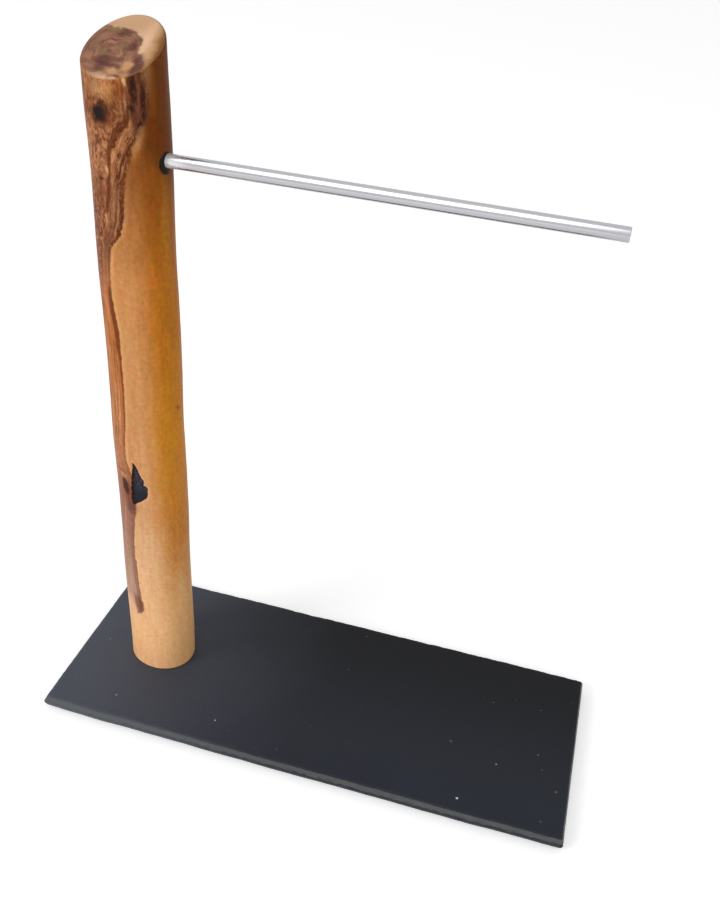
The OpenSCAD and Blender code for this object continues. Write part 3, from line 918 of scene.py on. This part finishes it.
def slate_stone(colours):
    """Dark stone, with a painted sheen that makes it paler at the left, a fine grain, a few specks and
    freshly broken edges whose lighter upper band is partly painted light.
    """
    stone = Material("slate", Specular_IOR_Level=0.13)
    place = stone.position()
    x, y, z = stone.parts(place)
    cloud = stone.waver(place, 0.02, 4.0)
    grain = stone.noise(place, 1.3, detail=4.0, roughness=0.7) - 0.5
    colour = stone.mix(stone.rise(y + cloud * 20.0, -40.0, 50.0), colours.front, colours.back)
    # Painted sheen: the stone turns paler and bluer towards the left, where it reflects the light.
    colour = stone.mix(stone.rise(x + cloud * 50.0, 10.0, -150.0), colour, colours.left)
    colour = stone.shaded(colour, cloud * 0.16 + grain * 0.4)
    up = stone.parts(stone.node("ShaderNodeNewGeometry", out="Normal"))[2]
    ragged = stone.noise(stone.vector_math("MULTIPLY", place, (0.3, 0.3, 1.5)), 1.0, detail=3.0)
    # The broken edges' lighter colour is partly the fresh stone's own and partly painted light: it is kept
    # to the upper part of the edge, which faces the light.
    broken = stone.rise(up, 0.92, 0.6) * stone.rise(z + ragged * 3.0, 6.2, 7.6)
    colour = stone.mix(broken * (0.4 + ragged * 0.6), colour, colours.edge)
    speck = stone.rise(stone.noise(place, 0.35, detail=0.0), 0.85, 0.88) * 0.12
    for across, deep, size in SPECKS:
        near = stone.rise(stone.hypot(x - across, y - deep), size + 0.15, size)
        speck = stone.math("MAXIMUM", speck, near * (size * 2.0))
    stone.drive(Base_Color=stone.mix(speck, colour, colours.speck), Roughness=0.5 + grain * 0.3)
    stone.relief(grain + stone.noise(place, 0.25, detail=3.0) * 2.0, 0.08)
    return stone


def satin_metal(colour):
    """Drawn metal with fine lines along the rod; beside the post a painted highlight makes it paler and
    partly matte.
    """
    metal = Material("satin metal", Metallic=1.0)
    place = metal.position(POST_FOOT)
    lines = metal.noise(metal.vector_math("MULTIPLY", place, (0.05, 3.0, 3.0)), 1.0, detail=3.0)
    cloud = metal.waver(place, 0.15)
    darker = tuple(c * 0.92 for c in colour)
    # Painted highlight: beside the post the metal turns pale and partly matte, so the rod's start shows
    # bright.
    pale = (0.95, 0.95, 0.96)
    painted_highlight_near_post = metal.rise(metal.parts(place)[0], 30.0, 17.0) * 0.7
    metal.drive(Base_Color=metal.mix(painted_highlight_near_post, metal.mix(lines, darker, colour), pale),
                Metallic=1.0 - painted_highlight_near_post, Roughness=0.24 + (lines - 0.5) * 0.12 + cloud * 0.08)
    metal.relief(lines, 0.01)
    return metal


def plated_steel(colour):
    """Zinc plated steel, cloudy and slightly dull."""
    metal = Material("plated steel", Metallic=1.0)
    place = metal.position()
    cloud = metal.noise(place, 0.8, detail=3.0)
    scratch = metal.noise(metal.vector_math("MULTIPLY", place, (0.6, 6.0, 1.0)), 1.0, detail=2.0)
    darker = tuple(c * 0.75 for c in colour)
    metal.drive(Base_Color=metal.mix(cloud, darker, colour), Roughness=0.32 + (cloud - 0.5) * 0.2)
    metal.relief(scratch, 0.01)
    return metal


def pad_rubber(colour):
    """Dull dark rubber with a pebbled skin."""
    pad = Material("pad rubber")
    place = pad.position()
    speck = pad.noise(place, 1.6, detail=3.0)
    darker = tuple(c * 0.6 for c in colour)
    pad.drive(Base_Color=pad.mix(speck, darker, colour), Roughness=0.75 + (speck - 0.5) * 0.2)
    pad.relief(speck, 0.05)
    return pad


class BuildSlate(bpy.types.Operator):
    """Build the slate base, with its dressed and riven edges"""

    bl_idname = "hanger.slate"
    bl_label = "Slate base"

    across, deep, layers = 241, 97, 11
    # How far the edge is set in, by the share of the thickness.
    edge_profile = [(0.0, 0.9), (0.18, 0.5), (0.3, 0.08), (0.38, 0.0), (0.7, 0.45), (1.0, 1.15)]
    head_play, shank_play = 0.05, 0.3
    cutter_low, cutter_top = -1.0, 8.0

    def execute(self, context):
        sizes, screws = context.scene.hanger_slate, context.scene.hanger_screws
        form = Form("slate_slab", **drawn(sizes, "length", "depth", "bow"), **drawn(screws, "sunk"),
                    thickness=(SLATE_HIGH.z - SLATE_LOW.z) / MM, head=screws.head / 2 / MM,
                    shank=screws.diameter / 2 / MM)
        aside = screws.spacing / 2 / MM
        slab = form.cut(self.slab(form), self.screw_hole(form, -aside), self.screw_hole(form, aside))
        slate = form.grow(slab, slate_stone(sizes), (0, 0, SLATE_LOW.z), sharp=35)
        settle(slate, "slate", "slate_base")
        return {"FINISHED"}

    def slab(self, form):
        """A slab whose edges step in by layers, with chips, a broken upper edge and a riven top."""
        cube = form.node("GeometryNodeMeshCube", None, {
            "Size": (1.0, 1.0, 1.0), "Vertices X": self.across, "Vertices Y": self.deep,
            "Vertices Z": self.layers})
        u, v, w = form.parts(form.node("GeometryNodeInputPosition"))
        x = self.spread(u) * form.length
        y = self.spread(v) * form.depth
        up = w + 0.5
        plain = form.vector(x, y, up * form.thickness)
        profile = form.curve(up, self.edge_profile)
        broad = form.noise(plain, 0.045)
        layered = form.vector_math("MULTIPLY", plain, (1.0, 1.0, 2.2))
        chips = form.noise(layered, 0.3, detail=4.0, roughness=0.55)
        set_in = profile * (0.6 + 0.6 * broad) + 0.35 * broad + form.rise(chips, 0.45, 0.8) * 0.4 * up
        inner_x = 1.0 - 2.0 * set_in / form.length
        inner_y = 1.0 - 2.0 * set_in / form.depth
        bow = (1.0 - 4.0 * u * u) * form.bow * form.rise(v, 0.0, -0.5)
        away = form.math("MINIMUM", form.length * 0.5 - form.math("ABSOLUTE", x),
                         form.depth * 0.5 - form.math("ABSOLUTE", y))
        bevel = form.noise(plain, 0.12, detail=3.0, roughness=0.6)
        drop = form.rise(away, 0.3 + 1.6 * bevel, 0.0) * (0.1 + 0.5 * bevel) * form.rise(up, 0.5, 1.0)
        riven = form.waver(form.vector_math("MULTIPLY", plain, (0.6, 1.0, 0.0)), 0.06, 4.0) * 0.12
        height = up * form.thickness - drop + riven * form.rise(up, 0.5, 1.0) - 0.1 * up
        return form.place(cube, form.vector(x * inner_x, y * inner_y - bow, height))

    def spread(self, part):
        """Draws the rows of a unit box together towards its edges."""
        return part * (1.5 - 2.0 * part * part)

    def screw_hole(self, form, x):
        """The cutter of a countersunk hole, open below, a little wider than the screw."""
        wide, narrow = form.head + self.head_play, form.shank + self.shank_play
        profile = [(0.0, self.cutter_low, 0), (wide, self.cutter_low, 1), (wide, form.sunk, 1),
                   (narrow, form.sunk + wide - narrow, 1), (narrow, self.cutter_top, 1),
                   (0.0, self.cutter_top, 1)]
        return form.moved(form.lathe(profile, 48), Translation=(POST_X / MM + x, 0.0, 0.0))


class BuildRod(bpy.types.Operator):
    """Build the slim metal rod"""

    bl_idname = "hanger.rod"
    bl_label = "Metal rod"

    chamfer = 0.4

    def execute(self, context):
        sizes = context.scene.hanger_rod
        form = Form("metal_rod", **drawn(sizes, "grip", "forward", "height"), turn=-sizes.turn,
                    radius=sizes.diameter / 2 / MM, length=(sizes.grip + sizes.reach) / MM)
        inner, edge = form.radius - self.chamfer, form.radius - self.chamfer / 4
        far = form.length - self.chamfer / 4
        profile = [(0.0, 0.0, 0), (inner, 0.0, 1), (edge, self.chamfer / 4, 1),
                   (form.radius, self.chamfer, 1), (form.radius, form.length - self.chamfer, 4),
                   (edge, far, 1), (inner, form.length, 1), (0.0, form.length, 1)]
        lying = form.moved(form.lathe(profile, 64), Translation=form.vector(-form.grip, 0.0, 0.0),
                           Rotation=(0.0, math.pi / 2, 0.0))
        placed = form.moved(lying, Translation=form.vector(0.0, -form.forward, form.height),
                            Rotation=form.vector(0.0, 0.0, form.turn))
        rod = form.grow(placed, satin_metal(sizes.metal), POST_FOOT, sharp=30)
        settle(rod, "aluminium_rod", "hanging_rod")
        return {"FINISHED"}


class BuildScrews(bpy.types.Operator):
    """Build the two countersunk wood screws that hold the post"""

    bl_idname = "hanger.screws"
    bl_label = "Screws"

    core_share, neck_share, tip_length = 0.72, 0.3, 5.0

    def execute(self, context):
        sizes = context.scene.hanger_screws
        form = Form("wood_screws", **drawn(sizes, "length", "spacing", "sunk", "pitch"),
                    radius=sizes.diameter / 2 / MM, head=sizes.head / 2 / MM)
        screw = form.cut(form.cut(self.screw(form), self.recess(form, 45)), self.recess(form, 135))
        points = form.node("GeometryNodeMeshLine", {"mode": "OFFSET"}, {
            "Count": 2, "Start Location": form.vector(form.spacing * -0.5, 0.0, form.sunk),
            "Offset": form.vector(form.spacing, 0.0, 0.0)})
        pair = form.node("GeometryNodeInstanceOnPoints", None, {"Points": points, "Instance": screw})
        screws = form.grow(pair, plated_steel(sizes.steel), (POST_X, 0, SLATE_LOW.z), sharp=30)
        settle(screws, "screw_steel", "post_screws")
        return {"FINISHED"}

    def screw(self, form):
        """One screw, its flat head down: head, cone, plain neck, thread and tip."""
        core = form.radius * self.core_share
        cone = 0.1 + form.head - form.radius
        neck = form.length * self.neck_share
        tip = form.length - self.tip_length
        profile = [(0.0, 0.0, 0), (form.head - 0.2, 0.0, 2), (form.head, 0.1, 1), (form.radius, cone, 2),
                   (form.radius, neck, 2), (core, neck + 0.6, 1), (core, tip, 56),
                   (0.0, form.length, 24)]

        def thread(height, round_share):
            wave = form.math("FRACT", height / form.pitch + round_share)
            crest = form.rise(form.math("ABSOLUTE", wave - 0.5), 0.22, 0.03, "LINEAR")
            reach = form.rise(height, neck, neck + 1.6) * form.rise(height, form.length - 0.3, tip)
            return crest * reach * (form.radius - core)

        return form.lathe(profile, 40, thread)

    def recess(self, form, turn):
        """One bar of the cross recess in the head."""
        bar = form.node("GeometryNodeMeshCube", None, {
            "Size": form.vector(form.head * 1.12, form.head * 0.24, form.head * 0.66)})
        return form.moved(bar, Rotation=(0.0, 0.0, math.radians(turn)))


class BuildPads(bpy.types.Operator):
    """Build the four round pads under the slate"""

    bl_idname = "hanger.pads"
    bl_label = "Foot pads"

    def execute(self, context):
        sizes, slate = context.scene.hanger_pads, context.scene.hanger_slate
        form = Form("rubber_pads", **drawn(sizes, "thickness", "edge"), radius=sizes.diameter / 2 / MM,
                    across=(slate.length - 2 * sizes.inset) / MM, deep=(slate.depth - 2 * sizes.inset) / MM)
        low = form.radius - form.edge
        profile = [(0.0, 0.0, 0), (low, 0.0, 3), (form.radius - form.edge * 0.3, form.edge * 0.3, 1),
                   (form.radius, form.edge, 1), (form.radius, form.thickness, 2), (0.0, form.thickness, 3)]
        corners = form.node("GeometryNodeMeshGrid", None, {
            "Size X": form.across, "Size Y": form.deep, "Vertices X": 2, "Vertices Y": 2})
        all_four = form.node("GeometryNodeInstanceOnPoints", None, {
            "Points": corners, "Instance": form.lathe(profile, 64)})
        settle(form.grow(all_four, pad_rubber(sizes.rubber)), "pad_rubber", *PADS)
        return {"FINISHED"}


class BuildStage(bpy.types.Operator):
    """Build the floor, the lamps, the background and the camera"""

    bl_idname = "hanger.stage"
    bl_label = "Stage"

    lit_point = (0.0, 0.0, 0.15)
    floor_size, floor_glow = 3.0, (0.4, 0.4, 0.4)
    camera_place = (0.098265, -0.364116, 0.418633)
    camera_turn = (56.3555, -3.5817, 15.8138)

    def execute(self, context):
        settings = context.scene.hanger_stage
        self.floor(settings)
        self.lamp("key lamp", settings.key, (-1.9, -2.0, 1.7), self.lit_point, 1.2, shines=False)
        self.lamp("fill lamp", settings.fill, (0.5, -2.2, 0.35), self.lit_point, 1.2, shines=False)
        self.lamp("shine lamp", settings.shine, (-0.4, -1.12, 1.5), (-0.4, -1.12, 0.0), 1.7, lights=False)
        self.background(settings)
        self.camera(settings)
        context.scene.view_settings.view_transform = "Standard"
        return {"FINISHED"}

    def floor(self, settings):
        """A sheet of paper that shows white to the camera and still takes the piece's shadow."""
        mesh = bpy.data.meshes.new("floor")
        shape = bmesh.new()
        bmesh.ops.create_grid(shape, x_segments=1, y_segments=1, size=self.floor_size)
        shape.to_mesh(mesh)
        shape.free()
        floor = bpy.data.objects.new("floor", mesh)
        bpy.context.collection.objects.link(floor)
        paper = Material("floor paper", Base_Color=settings.floor, Roughness=0.9, Specular_IOR_Level=0.1,
                         Emission_Strength=1.0)
        paper.drive(Emission_Color=paper.mix(self.shown_ray(paper), (0, 0, 0), self.floor_glow))
        mesh.materials.append(paper.material)

    def shown_ray(self, graph):
        """1 for the camera's rays and for those that gloss and clear pieces send on."""
        path = graph.node("ShaderNodeLightPath").socket.node
        camera, gloss, clear = (Value(graph, path.outputs[f"Is {kind} Ray"])
                                for kind in ("Camera", "Glossy", "Transmission"))
        return graph.clamp(camera + gloss + clear)

    def lamp(self, name, power, place, target, size, lights=True, shines=True):
        """Adds a soft square lamp, which lights the pieces, shines in their gloss, or both."""
        light = bpy.data.lights.new(name, "AREA")
        light.energy = power
        light.shape = "SQUARE"
        light.size = size
        lamp = bpy.data.objects.new(name, light)
        lamp.location = place
        lamp.rotation_euler = (Vector(target) - Vector(place)).to_track_quat("-Z", "Y").to_euler()
        lamp.visible_diffuse = lights
        lamp.visible_glossy = shines
        bpy.context.collection.objects.link(lamp)

    def background(self, settings):
        """White for the rays that show it, and an even soft light for the others."""
        world = bpy.data.worlds.new("studio")
        world.use_nodes = True
        bpy.context.scene.world = world
        sky = Graph(world.node_tree)
        strength = sky.math("MAXIMUM", self.shown_ray(sky), settings.sky)
        shader = world.node_tree.nodes["Background"]
        shader.inputs["Color"].default_value = (1, 1, 1, 1)
        sky.feed(shader.inputs["Strength"], strength)

    def camera(self, settings):
        data = bpy.data.cameras.new("camera")
        data.lens = settings.lens
        data.sensor_width = 36.0
        data.clip_start = 0.01
        camera = bpy.data.objects.new("camera", data)
        camera.location = self.camera_place
        camera.rotation_euler = [math.radians(a) for a in self.camera_turn]
        bpy.context.collection.objects.link(camera)
        bpy.context.scene.camera = camera


class HangerPanel(bpy.types.Panel):
    """Lists the sizes, the colours and the building steps"""

    bl_idname = "VIEW3D_PT_hanger"
    bl_label = "Fruit hanger"
    bl_space_type = "VIEW_3D"
    bl_region_type = "UI"
    bl_category = "Hanger"

    def draw(self, context):
        for name, kind in SETTINGS.items():
            box = self.layout.box()
            box.label(text=kind.__doc__)
            for label in kind.__annotations__:
                box.prop(getattr(context.scene, name), label)
        for operator in OPERATORS:
            self.layout.operator(operator.bl_idname)


SETTINGS = {
    "hanger_post": PostSettings, "hanger_wood": WoodSettings, "hanger_slate": SlateSettings,
    "hanger_rod": RodSettings, "hanger_screws": ScrewSettings, "hanger_pads": PadSettings,
    "hanger_stage": StageSettings,
}
OPERATORS = [BuildPost, BuildSlate, BuildRod, BuildScrews, BuildPads, BuildStage]


def register():
    for kind in (*SETTINGS.values(), *OPERATORS, HangerPanel):
        bpy.utils.register_class(kind)
    for name, kind in SETTINGS.items():
        setattr(bpy.types.Scene, name, PointerProperty(type=kind))


def unregister():
    for name in SETTINGS:
        delattr(bpy.types.Scene, name)
    for kind in (HangerPanel, *reversed(OPERATORS), *SETTINGS.values()):
        bpy.utils.unregister_class(kind)


def plain(box):
    return [list(corner) for corner in box]


def main():
    register()
    for operator in OPERATORS:
        group, name = operator.bl_idname.split(".")
        getattr(getattr(bpy.ops, group), name)()


if __name__ == "__main__":
    main()
